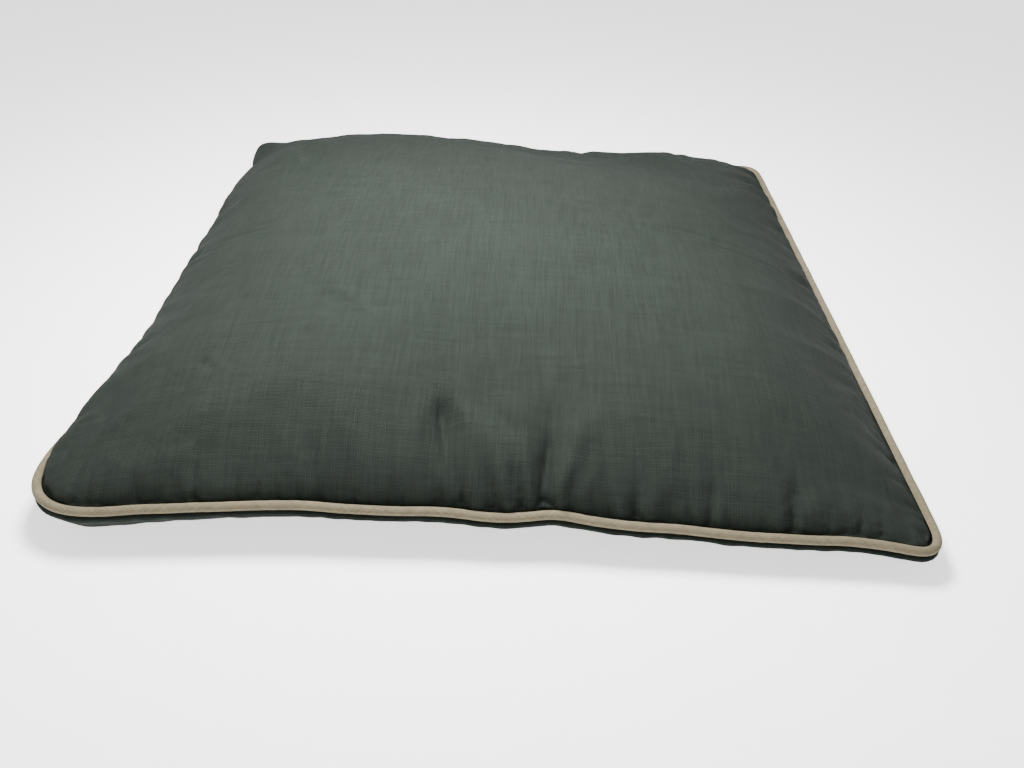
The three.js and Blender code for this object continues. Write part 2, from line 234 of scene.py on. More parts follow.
def cotton_cord():
    """Loosely twisted cotton piping cord: off-white, with the strands' turns showing as diagonals."""
    made, tree, shader = finish_named("twisted_cotton", 0.9, Specular_IOR_Level=0.2)
    cloth = add(tree, "ShaderNodeUVMap", uv_map="cloth")
    turned = add(tree, "ShaderNodeMapping", {"Vector": cloth, "Rotation": (0, 0, math.radians(38))})
    strands = add(tree, "ShaderNodeTexWave", {"Vector": turned, "Scale": 1 / (20 * 2.4 * MM) * TAU,
                                              "Distortion": 0.6})
    two_toned(tree, shader, strands, ((0.1, "#b8b09a"), (0.7, "#e9e3d2")), 0.6, 0.4 * MM)
    return made


def polyester_tape():
    """Woven polyester zip tape: close ribs across it, dyed to the cover's green."""
    made, tree, shader = finish_named("polyester_tape", 0.75, Specular_IOR_Level=0.3)
    place = add(tree, "ShaderNodeTexCoord", output="Object")
    ribs = add(tree, "ShaderNodeTexWave", {"Vector": place, "Scale": TAU / (20 * 0.8 * MM),
                                           "Distortion": 0.3}, bands_direction="X")
    two_toned(tree, shader, ribs, ((0.1, "#212723"), (0.8, "#303832")), 0.6, 0.12 * MM)
    return made


def nylon_monofilament():
    """Nylon 6 monofilament, heat set: smooth and slightly waxy, dyed with the tape."""
    made, _, shader, _ = filament_finish("nylon_monofilament", "#364038", "#28302a", 6 * MM, 0.38,
                                         0.02 * MM)
    shader.inputs["IOR"].default_value = 1.53
    return made


def die_cast_zinc():
    """Die-cast zinc, tumbled: satin grey, with fine tumbling marks and uneven gloss."""
    made, tree, shader, grain = filament_finish("satin_zinc", "#9b9ea0", "#7c7f82", 1.1 * MM, 0.35,
                                                0.03 * MM)
    shader.inputs["Metallic"].default_value = 1.0
    gloss = add(tree, "ShaderNodeMapRange", {"Value": grain, "To Min": 0.26, "To Max": 0.46})
    tree.links.new(gloss, shader.inputs["Roughness"])
    return made


def sewing_thread():
    """Corespun polyester thread, a tone lighter than the cover: tight twist, a soft shine."""
    return filament_finish("corespun_thread", "#4a554c", "#333c35", 0.5 * MM, 0.5, 0.05 * MM,
                           stretch=(1, 3, 3))[0]


# ---------- Mesh helpers ----------
def in_scene(name, data):
    made = bpy.data.objects.new(name, data)
    bpy.context.collection.objects.link(made)
    return made


def dressed(mesh, finish):
    """Gives a mesh this finish and no other."""
    mesh.materials.clear()
    mesh.materials.append(finish)
    return mesh


def plain_mesh(piece):
    """The piece's mesh with its modifiers applied."""
    return bpy.data.meshes.new_from_object(piece.evaluated_get(bpy.context.evaluated_depsgraph_get()))


def cloth_mesh(name, points, faces, cloth, finish=None):
    """A smooth mesh at the origin, with its flat cloth coordinates, in metres, as its UV map."""
    data = bpy.data.meshes.new(name)
    data.from_pydata(np.asarray(points).tolist(), [], [list(map(int, face)) for face in faces])
    layer = data.uv_layers.new(name="cloth")
    corners = np.zeros(len(data.loops), np.int32)
    data.loops.foreach_get("vertex_index", corners)
    layer.data.foreach_set("uv", np.asarray(cloth)[corners].ravel().astype(np.float32))
    data.polygons.foreach_set("use_smooth", np.ones(len(data.polygons), bool))
    if finish:
        data.materials.append(finish)
    return in_scene(name, data)


def sewn_in(piece, body, slot_name, *nodes):
    """The piece moves with a body and stands for these frame nodes. Its slot_name is not used."""
    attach(piece, body)
    if nodes:
        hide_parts(*nodes)


def quads(rows, columns, ring=False):
    """Quads of points numbered along the columns first. A ring joins its last column to its first."""
    i, j = np.meshgrid(np.arange(rows - 1), np.arange(columns if ring else columns - 1), indexing="ij")
    after = (j + 1) % columns
    corners = [i * columns + j, i * columns + after, (i + 1) * columns + after, (i + 1) * columns + j]
    return np.stack([c.ravel() for c in corners], axis=1)


def blurred(values, times):
    """A grid of values averaged with its neighbours this many times."""
    for _ in range(times):
        for axis in (0, 1):
            n = values.shape[axis]
            wide = np.concatenate([values.take([0], axis), values, values.take([-1], axis)], axis)
            values = sum(wide.take(range(k, k + n), axis) for k in range(3)) / 3
    return values


def finer(grid):
    """The grid with a point between each pair, on a smooth curve through its neighbours."""
    for axis in (0, 1):
        n = grid.shape[axis]
        before = 2 * grid.take([0], axis) - grid.take([1], axis)
        after = 2 * grid.take([-1], axis) - grid.take([-2], axis)
        wide = np.concatenate([before, grid, after], axis)
        near = wide.take(range(1, n), axis) + wide.take(range(2, n + 1), axis)
        far = wide.take(range(0, n - 1), axis) + wide.take(range(3, n + 2), axis)
        shape = list(grid.shape)
        shape[axis] = 2 * n - 1
        denser = np.zeros(shape)
        even, odd = [slice(None)] * grid.ndim, [slice(None)] * grid.ndim
        even[axis], odd[axis] = slice(0, None, 2), slice(1, None, 2)
        denser[tuple(even)], denser[tuple(odd)] = grid, (9 * near - far) / 16
        grid = denser
    return grid


def upward_normals(grid):
    normal = np.cross(np.gradient(grid, axis=0), np.gradient(grid, axis=1))
    return normal / np.maximum(np.linalg.norm(normal, axis=2, keepdims=True), 1e-15)


def arcs(grid, axis):
    """Length along the surface from the grid's first line to each point, in this direction."""
    steps = np.linalg.norm(np.diff(grid, axis=axis), axis=2)
    start = np.zeros_like(steps.take([0], axis))
    return np.concatenate([start, np.cumsum(steps, axis=axis)], axis=axis)


def side_distances(grid):
    """Length over the surface to the grid's front, right, rear and left side."""
    from_left, from_front = arcs(grid, 0), arcs(grid, 1)
    return np.stack([from_front, from_left[-1:] - from_left, from_front[:, -1:] - from_front, from_left])


def border_of(grid):
    """Which points of the grid are on its border."""
    border = np.ones(grid.shape[:2], bool)
    border[1:-1, 1:-1] = False
    return border


def bell(x, y, centre, reach):
    """A smooth hill of height 1."""
    return np.exp(-(((x - centre[0]) / reach[0]) ** 2) - ((y - centre[1]) / reach[1]) ** 2)


# ---------- The seam line ----------
# Each corner's shift from a true square and in height, then each side's pull inwards and its rise at
# the middle, in millimetres. The rear stays straight for the zip.
CORNERS = {(-1, -1): (-10.8, -0.5, 0.0), (1, -1): (3.0, -3.5, -10.5), (-1, 1): (10.0, -3.5, -8.0),
           (1, 1): (-7.5, 0.0, 2.5)}
ZIP_REACH = 0.79  # half length of the rear's straight part, as a share of the half side
SIDES = {"front": (13.9, 6.5), "right": (-3.3, -4.6), "left": (15.0, 0.0)}
# Slow waves of the front seam: place along the side, from -1 to 1, reach, and how far they draw the
# seam up and in. The left seam's waves draw it in only.
FRONT_WAVES = [(-0.91, 0.12, -2.6), (-0.45, 0.13, 2.2), (-0.22, 0.1, -1.5), (0.04, 0.09, -3.6),
               (0.17, 0.06, 2.6), (0.35, 0.1, -2.8), (0.57, 0.12, -2.6), (0.87, 0.12, 4.6)]
LEFT_WAVES = [(-0.5, 0.28, 6.0), (0.2, 0.25, -3.0)]


def laid_out(X, Y):
    """Place in plan of a point of the square from -1 to 1, and the seam's height there. The square's
    border is the seam line."""
    cut = CORNER_CUT * (1 - LEFT_IS_ROUNDER * X)
    x = HALF * X * (1 - cut * np.abs(Y) ** (1 / cut))
    y = HALF * Y * (1 - cut * np.abs(X) ** (1 / cut))
    z = SEAM_Z + 0 * X
    at_rear = np.clip(Y, 0, 1) ** 6  # there the corners bend only beyond the zip
    for (right, back), (dx, dy, dz) in CORNERS.items():
        beyond_zip = np.clip((right * X - ZIP_REACH) / (1 - ZIP_REACH), 0, 1) ** 2
        share = (1 + right * X) / 2 * (1 - at_rear) + beyond_zip * at_rear
        share = share * (1 + back * Y) / 2
        x, y, z = x + share * dx * MM, y + share * dy * MM, z + share * dz * MM
    for side, along, towards, (dx, dy) in (("front", X, -Y, (0, 1)), ("left", Y, -X, (1, 0)),
                                           ("right", Y, X, (-1, 0))):
        pull, rise = SIDES[side]
        share = np.clip(towards, 0, 1) ** 3 * (1 - along**2)
        x, y, z = x + share * pull * dx * MM, y + share * pull * dy * MM, z + share * rise * MM
    for place, reach, draw in FRONT_WAVES:
        share = np.exp(-(((X - place) / reach) ** 2)) * np.clip(-Y, 0, 1) ** 12 * draw * MM / 2
        y, z = y + share, z + share
    for place, reach, draw in LEFT_WAVES:
        x = x + np.exp(-(((Y - place) / reach) ** 2)) * np.clip(-X, 0, 1) ** 12 * draw * MM
    return x, y, z


def seam_line(count):
    """The seam line at even steps, anticlockwise from the middle of the rear: its points, outward
    directions, distances along it, place on the square, and whole length."""
    fine = np.linspace(-1, 1, 2001)[:-1]
    one = np.ones_like(fine)
    X = np.roll(np.concatenate([-fine, -one, fine, one]), -len(fine) // 2)
    Y = np.roll(np.concatenate([one, -fine, -one, fine]), -len(fine) // 2)
    square = np.column_stack([X, Y])
    square = np.concatenate([square, square[:1]])
    line = np.column_stack(laid_out(*square.T))
    along = np.concatenate([[0], np.cumsum(np.linalg.norm(np.diff(line, axis=0), axis=1))])
    at = np.linspace(0, along[-1], count, endpoint=False)
    points, places = (np.column_stack([np.interp(at, along, column) for column in table.T])
                      for table in (line, square))
    ahead = np.roll(points, -1, axis=0) - np.roll(points, 1, axis=0)
    out = np.column_stack([ahead[:, 1], -ahead[:, 0]])
    out /= np.linalg.norm(out, axis=1, keepdims=True)
    return points, out, at, places, along[-1]


def ripples(numbers, at, total, turns):
    """Uneven waves along a closed line, about -1 to 1, made of whole numbers of turns."""
    waves = [numbers.uniform(0.4, 1) * np.sin(TAU * (k * at / total + numbers.random())) for k in turns]
    return sum(waves) / math.sqrt(len(waves))


# ---------- The top panel ----------
# How full the crown is towards each side: less is a steeper wall. Then how far it bulges over the seam.
FULLNESS = {"left": 0.40, "right": 0.6, "front": 0.44, "rear": 0.36}
OVERHANG = {"left": 3 * MM, "right": 0.0, "front": 0.0, "rear": 4 * MM}
OVERHANG_HEIGHT = 0.3  # share of the crown's height where it bulges most


def crown_line(u, low_side, high_side):
    """For even steps of cloth u from -1 to 1: the place from -1 to 1, the share of the crown's height,
    and the outward bulge, which is signed."""
    place, height, bulge = np.zeros_like(u), np.zeros_like(u), np.zeros_like(u)
    for side, chosen, sign in ((low_side, u < 0, -1), (high_side, u >= 0, 1)):
        where = 1 - np.linspace(1, 0, 4001) ** 3
        rise = (1 - where**2) ** FULLNESS[side]
        along = np.concatenate([[0], np.cumsum(np.hypot(np.diff(where) * HALF, np.diff(rise) * CROWN))])
        at = np.interp(np.abs(u[chosen]), along / along[-1], where)
        place[chosen] = sign * at
        height[chosen] = np.clip(1 - at**2, 0, 1) ** FULLNESS[side]
        share = height[chosen] / OVERHANG_HEIGHT
        bulge[chosen] = sign * OVERHANG[side] * share * np.exp(1 - share)
    return place, height, bulge


# The rear left corner stands up as a small loose ear, at this place on the square.
EAR_MIDDLE, EAR_REACH = (-0.95, 0.94), (0.065, 0.075)


# The crown's unevenness: each swell's height in millimetres, its middle in plan and its reach.
SWELLS = [(5, (-0.11, 0.20), (0.16, 0.12)), (-21.5, (0.08, 0.23), (0.14, 0.10)),
          (15, (-0.225, 0.2), (0.037, 0.1)), (11, (0.25, 0.22), (0.07, 0.1)),
          (-12, (0.02, -0.20), (0.10, 0.07)), (3.5, (-0.17, -0.18), (0.10, 0.09)),
          (-7, (-0.25, -0.13), (0.06, 0.1)), (5, (0.20, -0.16), (0.09, 0.10))]


def crown_grid(count):
    """The top panel's shape before any creases, as a grid of points, and the seam's height below."""
    u = np.linspace(-1, 1, count + 1)
    x_place, x_height, x_bulge = crown_line(u, "left", "right")
    y_place, y_height, y_bulge = crown_line(u, "front", "rear")
    X, Y = np.meshgrid(x_place, y_place, indexing="ij")
    share = np.outer(x_height, y_height)
    x, y, z = laid_out(X, Y)
    x = x + np.outer(x_bulge, y_height)
    y = y + np.outer(x_height, y_bulge)
    swell = sum(height * bell(x, y, middle, reach) for height, middle, reach in SWELLS)
    z = z + CROWN * share + MM * swell * np.clip(share * 1.6, 0, 1)
    ear = bell(X, Y, EAR_MIDDLE, EAR_REACH) * (1 - np.abs(X) ** 60) * (1 - np.abs(Y) ** 60)
    x, y, z = x - 10 * MM * ear, y + 5 * MM * ear, z + 9 * MM * ear
    x = x - 6 * MM * bell(X, Y, (-0.99, 0.52), (0.06, 0.2)) * (1 - np.abs(X) ** 200)
    return np.stack([x, y, z], axis=2), laid_out(X, Y)[2]


def after_simulation(points):
    """The panel after a short cloth simulation with its seam held. Its cloth is a little larger than
    the shape it starts from and the filling presses it out, so it buckles into soft creases."""
    rows, columns, _ = points.shape
    flat = points.reshape(-1, 3)
    piece = cloth_mesh("panel_in_simulation", flat, quads(columns, rows)[:, ::-1], flat[:, :2])
    seam = piece.vertex_groups.new(name="seam")
    seam.add(np.flatnonzero(border_of(points)).tolist(), 1.0, "REPLACE")
    cloth = piece.modifiers.new("cloth", "CLOTH")
    settings = cloth.settings
    settings.vertex_group_mass = seam.name
    settings.quality = 6
    settings.mass = 0.25
    settings.tension_stiffness = settings.compression_stiffness = 12
    settings.shear_stiffness = 4
    settings.bending_stiffness = 0.6
    settings.shrink_min = -0.035
    settings.use_pressure = True
    settings.uniform_pressure_force = 3.0
    settings.effector_weights.gravity = 0
    cloth.collision_settings.use_collision = False
    cloth.point_cache.frame_end = SIMULATED_STEPS
    for step in range(1, SIMULATED_STEPS + 1):
        bpy.context.scene.frame_set(step)
    result = piece.evaluated_get(bpy.context.evaluated_depsgraph_get()).data
    moved = np.zeros(flat.size)
    result.vertices.foreach_get("co", moved)
    bpy.context.scene.frame_set(1)
    bpy.data.meshes.remove(piece.data)
    return moved.reshape(points.shape)


def with_soft_creases(points):
    """The designed crown with the simulation's finer movement added, less of it near the seam."""
    move = after_simulation(points) - points
    fine = (move - blurred(move, SLOW_SHAPE)) * SIMULATED_SHARE
    fine = fine * (1 - np.exp(-side_distances(points).min(axis=0) / STILL_NEAR_SEAM))[..., None]
    size = np.linalg.norm(fine, axis=2, keepdims=True)
    return points + fine * (LARGEST_MOVE / np.maximum(LARGEST_MOVE, size))


# Creases pressed in, given one by one: x and y of the start and of the end, half width and depth, in
# millimetres.
CREASES = [
    (40, -280, 45, -222, 6.5, 14.0),
    (-31, -234, -23, -288, 7, 12.0),
    (26, -291, 16, -264, 3.5, 5.0),
    (56, -291, 62, -262, 3.5, 4.0),
    (8, -291, -6, -258, 4, 4.5),
    (-14, -291, -24, -262, 3.5, 4.0),
    (12, -240, 26, -262, 6, 3.0),
    (-3, -205, 2, -250, 9, 3.0),
    (100, -293, 106, -262, 4, 3.5),
    (150, -293, 152, -266, 3.5, 3.0),
    (205, -294, 212, -262, 4, 4.0),
    (-110, -292, -118, -262, 4, 3.5),
    (-190, -292, -196, -266, 4, 3.0),
    (292, 192, 232, 158, 6, 3.5),
    (292, 228, 246, 196, 5, 3.0),
    (290, 130, 246, 88, 5, 3.0),
    (290, 20, 256, -8, 5, 2.5),
    (290, -90, 256, -100, 5, 2.5),
    (-286, 60, -246, 48, 6, 2.5),
    (-286, 0, -252, -8, 5, 2.5),
    (-288, -150, -250, -142, 5, 2.5),
    (-60, 293, -66, 246, 6, 3.0),
    (90, 293, 84, 262, 6, 2.0),
    (200, 293, 190, 265, 5, 2.0),
]


def crease_depth(x, y):
    """How far the listed creases push the cloth in, with a low ridge along both sides of each."""
    depth = np.zeros_like(x)
    for x0, y0, x1, y1, width, deep in CREASES:
        length = math.hypot(x1 - x0, y1 - y0)
        ux, uy = (x1 - x0) / length, (y1 - y0) / length
        along = (x / MM - x0) * ux + (y / MM - y0) * uy
        off = np.abs((y / MM - y0) * ux - (x / MM - x0) * uy)
        spread = width * (1 + 1.2 * np.clip(along / length, 0, 1.5))
        fade = np.exp(-1.8 * np.clip(along / length, 0, None) ** 2) / (1 + np.exp(-(along + 6) / 4))
        ridge = np.exp(-(((off - 1.9 * spread) / (0.9 * spread)) ** 2))
        depth += deep * fade * (np.exp(-1.2 * off / spread) - 0.35 * ridge)
    return depth * MM


def gather_depth(place, inset, total):
    """Depth of the short gathers square to the seam, which are sharp little valleys."""
    numbers = np.random.default_rng(3)
    count = round(total / (12.5 * MM))
    starts = (np.arange(count) + numbers.uniform(-0.38, 0.38, count)) * total / count
    depths = numbers.uniform(0.35, 1.0, count) ** 1.3 * 5.5 * MM
    lengths = numbers.uniform(7, 26, count) * MM
    widths = numbers.uniform(2.2, 4.2, count) * MM
    leans = numbers.uniform(-0.35, 0.35, count)
    near = inset < 70 * MM
    s, d = place[near], inset[near]
    sunk = np.zeros_like(s)
    for start, deep, length, width, lean in zip(starts, depths, lengths, widths, leans):
        off = (s - start - lean * d + total / 2) % total - total / 2
        sunk += deep * np.exp(-np.abs(off) / (width * (1 + 0.5 * d / length)) - d / length)
    depth = np.zeros_like(place)
    depth[near] = sunk * (1 - np.exp(-d / (2.5 * MM)))
    return depth


def seam_places(points):
    """For each grid point: the place along the seam of the nearest side, and the distance to it over
    the surface. Then the cloth coordinates, from the panel's middle."""
    insets = side_distances(points)
    from_front, from_left = insets[0], insets[3]
    side = np.argmin(insets, axis=0)
    x, y = points[..., 0], points[..., 1]
    place = (2 * side + 1) * HALF + np.choose(side, [x, y, -x, -y])
    middle = len(points) // 2
    cloth = np.stack([from_left - from_left[middle : middle + 1],
                      from_front - from_front[:, middle : middle + 1]], axis=2)
    return place, insets.min(axis=0), cloth


def make_top_panel(finish):
    """The panel with its seam allowance turned in, and its surface as a grid of points."""
    points, seam_height = crown_grid(GRID)
    points = with_soft_creases(points)
    points, seam_height = finer(points), finer(seam_height[..., None])[..., 0]
    place, inset, cloth = seam_places(points)
    sunk = gather_depth(place, inset, 8 * HALF) + crease_depth(points[..., 0], points[..., 1])
    held = np.clip(inset / (3 * MM), 0, 1)
    points = points - upward_normals(points) * (sunk * held)[..., None]
    above_piping = seam_height + 0.8 * MM * (1 - np.exp(-inset / MM)) + 0.05 * inset
    points[..., 2] = np.maximum(points[..., 2], np.minimum(above_piping, seam_height + 3 * MM))
    # The grid's first direction is +X and its second +Y, so its quads face up in this order.
    n = len(points)
    flat, flat_cloth = points.reshape(-1, 3), cloth.reshape(-1, 2)
    faces = quads(n, n)[:, ::-1]
    i = np.arange(n - 1)
    border = np.concatenate([i * n, (n - 1) * n + i, (n - 1 - i) * n + n - 1, n - 1 - i])
    edge = flat[border]
    ahead = np.roll(edge, -1, axis=0) - np.roll(edge, 1, axis=0)
    inward = np.column_stack([-ahead[:, 1], ahead[:, 0], 0 * ahead[:, 0]])
    inward /= np.linalg.norm(inward, axis=1, keepdims=True)
    flat = flat.copy()
    lift = np.array([0, 0, CLOTH_LIFT])
    turned = edge + inward * ALLOWANCE + lift
    flat[border] += lift - inward * FOLD
    new = len(flat) + np.arange(len(border))
    flap = np.stack([border, new, np.roll(new, -1), np.roll(border, -1)], axis=1)
    flat = np.concatenate([flat, turned])
    flat_cloth = np.concatenate([flat_cloth, flat_cloth[border] - inward[:, :2] * ALLOWANCE])
    piece = cloth_mesh("top_panel_linen", flat, np.concatenate([faces, flap]), flat_cloth, finish)
    return piece, points, cloth


# ---------- The underside panel ----------
def underside_sections(places, at, total):
    """Sections of the underside, as (out from the seam, up from the seam, share of the way down to the
    floor), from its seam allowance to where it lies flat. The rear's middle is flat for the zip."""
    X, Y = places[:, 0], places[:, 1]
    band = np.clip((Y - 0.9) / 0.09, 0, 1) * np.clip((0.97 - np.abs(X)) / 0.08, 0, 1)
    band = band * band * (3 - 2 * band)
    numbers = np.random.default_rng(23)
    ripple = ripples(numbers, at, total, range(9, 150, 7))
    tucked = bell(X, Y, (1.0, -0.25), (0.2, 0.4))
    out = (6.9 - 1.8 * tucked + 0.35 * ripple) * MM
    drop = (6.6 + 0.2 * ripple) * MM
    tuck = (1 - 0.4 * bell(X, Y, (-1, -1), (0.25, 0.25))) * MM  # less where the near left corner swells
    wrap = PIPING_RADIUS + 0.45 * MM
    soft = [(-ALLOWANCE, -CLOTH_LIFT, 0), (FOLD, -CLOTH_LIFT, 0), (FOLD + 0.3 * MM, -2.2 * MM, 0),
            (PIPING_OUT - 0.62 * wrap, -0.86 * wrap, 0), (PIPING_OUT, -1.06 * wrap, 0),
            (out - 1.5 * MM, -1.22 * wrap, 0), (out - 0.35 * MM, 1.6 * MM - drop, 0)]
    for inset, down in ((0, 0), (0.5, 0.035), (1.8, 0.09), (3.8, 0.17), (7.8, 0.316), (13, 0.52),
                        (18.5, 0.72), (25, 0.89), (34, 1.0)):
        soft.append((out - inset * tuck, -drop, down))
    slot_top, slot_foot = ZIP_Z + SLOT_HALF_HEIGHT - SEAM_Z, ZIP_Z - SLOT_HALF_HEIGHT - SEAM_Z
    flat = [(-ALLOWANCE, -CLOTH_LIFT), (FOLD, -CLOTH_LIFT), (0.75 * MM, -1.9 * MM), (1.1 * MM, -3.0 * MM),
            (1.4 * MM, -4.0 * MM), (ZIP_FACE, -5.2 * MM), (ZIP_FACE, -7.0 * MM), (ZIP_FACE, -8.8 * MM),
            (ZIP_FACE, slot_top), (ZIP_FACE, ZIP_Z - SEAM_Z), (ZIP_FACE, slot_foot),
            (ZIP_FACE, -22.5 * MM), (0.8 * MM, -25 * MM), (-2.5 * MM, -27.8 * MM), (-8 * MM, -29.4 * MM),
            (-18 * MM, -SEAM_Z)]
    return soft, flat, band


def make_underside(finish):
    """The underside, from its seam allowance round the edge and flat across the floor, with the zip's
    slot cut in its rear band."""
    count, rings = 720, 12
    line, out, at, places, total = seam_line(count)
    soft, flat, band = underside_sections(places, at, total)
    rows, seam_height = [], line[:, 2]
    for (soft_out, soft_up, down), (flat_out, flat_up) in zip(soft, flat):
        low = seam_height + soft_up
        o = soft_out * (1 - band) + flat_out * band
        z = low * (1 - down) * (1 - band) + (seam_height + flat_up) * band
        rows.append(np.column_stack([line[:, :2] + out * o[:, None], np.maximum(z, 0)]))
    rows[-1] = foot = rows[-1] * (1, 1, 0)
    rows += [foot * (1 - k / rings) for k in range(1, rings)]
    points = np.stack(rows)
    steps = np.linalg.norm(np.diff(points, axis=0), axis=2)
    inward = np.concatenate([np.zeros((1, count)), np.cumsum(steps, axis=0)]) - ALLOWANCE
    to_middle = inward[-1] + np.linalg.norm(points[-1], axis=1)
    cloth = line[None, :, :2] * (1 - inward / to_middle)[..., None]
    faces = quads(len(rows), count, ring=True)[:, ::-1]
    flat_points = np.concatenate([points.reshape(-1, 3), [[0, 0, 0]]])
    flat_cloth = np.concatenate([cloth.reshape(-1, 2), [[0, 0]]])
    last, middle, i = (len(rows) - 1) * count, len(flat_points) - 1, np.arange(count)
    hub = np.stack([last + i, middle + 0 * i, last + (i + 1) % count], axis=1)
    centres = flat_points[faces].mean(axis=1)
    slot = ((np.abs(centres[:, 0]) < SLOT_HALF_LENGTH) & (centres[:, 1] > HALF)
            & (np.abs(centres[:, 2] - ZIP_Z) < SLOT_HALF_HEIGHT))
    flat_points, flat_cloth, lip = turned_slot_edge(flat_points, flat_cloth, faces[slot])
    faces = faces[~slot].tolist() + hub.tolist() + lip
    return cloth_mesh("underside_panel_linen", flat_points, faces, flat_cloth, finish)


def turned_slot_edge(points, cloth, removed):
    """The cloth folded in round the slot, back to the zip's tape."""
    used = {}
    for face in removed.tolist():
        for a, b in zip(face, face[1:] + face[:1]):
            if (b, a) in used:
                used.pop((b, a))
            else:
                used[a, b] = True
    rim = sorted({a for a, _ in used})
    depth = points[rim[0]][1] - tape_high.y - 0.15 * MM
    new = {old: len(points) + k for k, old in enumerate(rim)}
    inner = points[rim] - (0, depth, 0)
    lip = [[a, b, new[b], new[a]] for a, b in used]
    towards = np.sign(ZIP_Z - points[rim][:, 2:3]) * (0, 1)
    return (np.concatenate([points, inner]), np.concatenate([cloth, cloth[rim] + towards * depth]), lip)


# ---------- The piping ----------
def swept_ring(name, sections, around, finish, line, out, at, join):
    """A piece swept round the seam line from sections given as (out, up) at each step."""
    count, rows = sections.shape[:2]
    plan = line[:, None, :2] + out[:, None] * sections[..., :1]
    points = np.concatenate([plan, line[:, None, 2:] + sections[..., 1:]], axis=2)
    faces = quads(rows, count, ring=True)
    if join:
        i, last = np.arange(count), (rows - 1) * count
        after = (i + 1) % count
        faces = np.concatenate([faces, np.stack([last + i, last + after, after, i], axis=1)])
    cloth = np.stack([np.repeat(at[:, None], rows, 1), around], axis=2)
    flat_points = points.transpose(1, 0, 2).reshape(-1, 3)
    piece = cloth_mesh(name, flat_points, faces, cloth.transpose(1, 0, 2).reshape(-1, 2), finish)
    close_weave(piece, at[1] * count)
    return piece


def close_weave(ring, length):
    """Moves the cloth coordinates on by the ring's whole length where the ring meets its start."""
    corners = ring.data.uv_layers["cloth"].data
    for face in ring.data.polygons:
        furthest = max(corners[i].uv.x for i in face.loop_indices)
        for i in face.loop_indices:
            if furthest - corners[i].uv.x > length / 2:
                corners[i].uv.x += length


def make_piping(sleeve_finish, cord_finish):
    """A bias strip folded round a cotton cord, its two edges caught in the seam."""
    count = 960
    line, out, at, places, total = seam_line(count)
    numbers = np.random.default_rng(11)
    sway = ripples(numbers, at, total, range(20, 70, 5)) * 0.22 * MM
    sway = sway * (1 - np.clip((places[:, 1] - 0.9) / 0.08, 0, 1))
    swell = 1 + 0.018 * ripples(numbers, at, total, (173, 211, 260, 317))
    line = line + np.column_stack([0 * sway, 0 * sway, sway])

    lap = math.radians(168)  # the strip wraps this far round each side of the cord
    angles = np.linspace(lap, -lap, 18)
    radii = (PIPING_RADIUS * swell)[:, None]
    o = PIPING_OUT + radii * np.cos(angles)
    z = radii * np.sin(angles)
    leg, level = np.full((count, 1), -ALLOWANCE), np.full((count, 1), 0.4 * MM)
    sections = np.stack([np.hstack([leg, o, leg]), np.hstack([level, z, -level])], axis=2)
    widths = np.concatenate([[-ALLOWANCE], PIPING_RADIUS * (angles[0] - angles),
                             [2 * PIPING_RADIUS * angles[0] + ALLOWANCE]])
    around = np.repeat(widths[None, :], count, 0)
    sleeve = swept_ring("piping_sleeve_cotton", sections, around, sleeve_finish, line, out, at, False)

    angles = np.linspace(math.pi, -math.pi, 12, endpoint=False)
    sections = np.stack([PIPING_OUT + CORD_RADIUS * np.cos(angles) + 0 * radii,
                         CORD_RADIUS * np.sin(angles) + 0 * radii], axis=2)
    around = np.repeat(CORD_RADIUS * (math.pi - angles)[None, :], count, 0)
    cord = swept_ring("piping_cord_cotton", sections, around, cord_finish, line, out, at, True)
    sewn_in(sleeve, "cushion", "piping_cloth", "piping_sleeve")
    sewn_in(cord, "cushion", "cotton_cord", "piping_cord")


# ---------- The pad inside ----------
def pad_shell(name, points, clearance, edge, floor_gap, finish):
    """A closed shell inside the cover: under the panel's surface by the clearance, drawn in to a seam
    of its own, and flat on the floor side."""
    step = 4
    surface = points[::step, ::step]
    n = len(surface)
    u = np.linspace(-1, 1, n)
    X, Y = np.meshgrid(crown_line(u, "left", "right")[0], crown_line(u, "front", "rear")[0], indexing="ij")
    shrink = 1 - edge / HALF
    seam = np.stack(laid_out(X * shrink, Y * shrink), axis=2)
    ez = seam[..., 2]

    dips = surface[..., 2] - blurred(surface[..., 2:3], 3)[..., 0]
    dips = blurred(np.minimum(dips, 0)[..., None], 2)
    upper = surface - upward_normals(surface) * (clearance - dips)
    upper[..., 2] = np.minimum(upper[..., 2], surface[..., 2] - clearance)
    hold = np.exp(-side_distances(surface).min(axis=0) / (20 * MM))[..., None]
    upper = upper * (1 - hold) + seam * hold
    across, back = (1 - np.abs(X)) * HALF / (10 * MM), (1 - np.abs(Y)) * HALF / (10 * MM)
    down = (1 - np.exp(-across)) * (1 - np.exp(-back))
    lower = seam.copy()
    lower[..., 2] = ez + (floor_gap - ez) * down
    border = border_of(seam)
    upper[border] = lower[border] = seam[border]
    upper[..., 2] = np.maximum(upper[..., 2], ez + 0.3 * MM * down)

    number = np.arange(n * n).reshape(n, n)
    below = number.copy()
    below[~border] = n * n + np.arange((~border).sum())
    faces = quads(n, n)[:, ::-1]
    under = below.ravel()[quads(n, n)]
    flat = np.concatenate([upper.reshape(-1, 3), lower[~border]])
    return cloth_mesh(name, flat, np.concatenate([faces, under]), flat[:, :2], finish)


def make_pad(points, casing_finish, filling_finish):
    """The calico pad and, inside it, its filling."""
    casing = pad_shell("pad_casing_calico", points, 5 * MM, 14 * MM, 1.6 * MM, casing_finish)
    filling = pad_shell("pad_filling_fibre", points, 7 * MM, 17 * MM, 3.4 * MM, filling_finish)
    sewn_in(casing, "cushion", "calico", "pad_casing_upper", "pad_casing_lower")
    sewn_in(filling, "cushion", "filling", "pad_filling")
    return casing


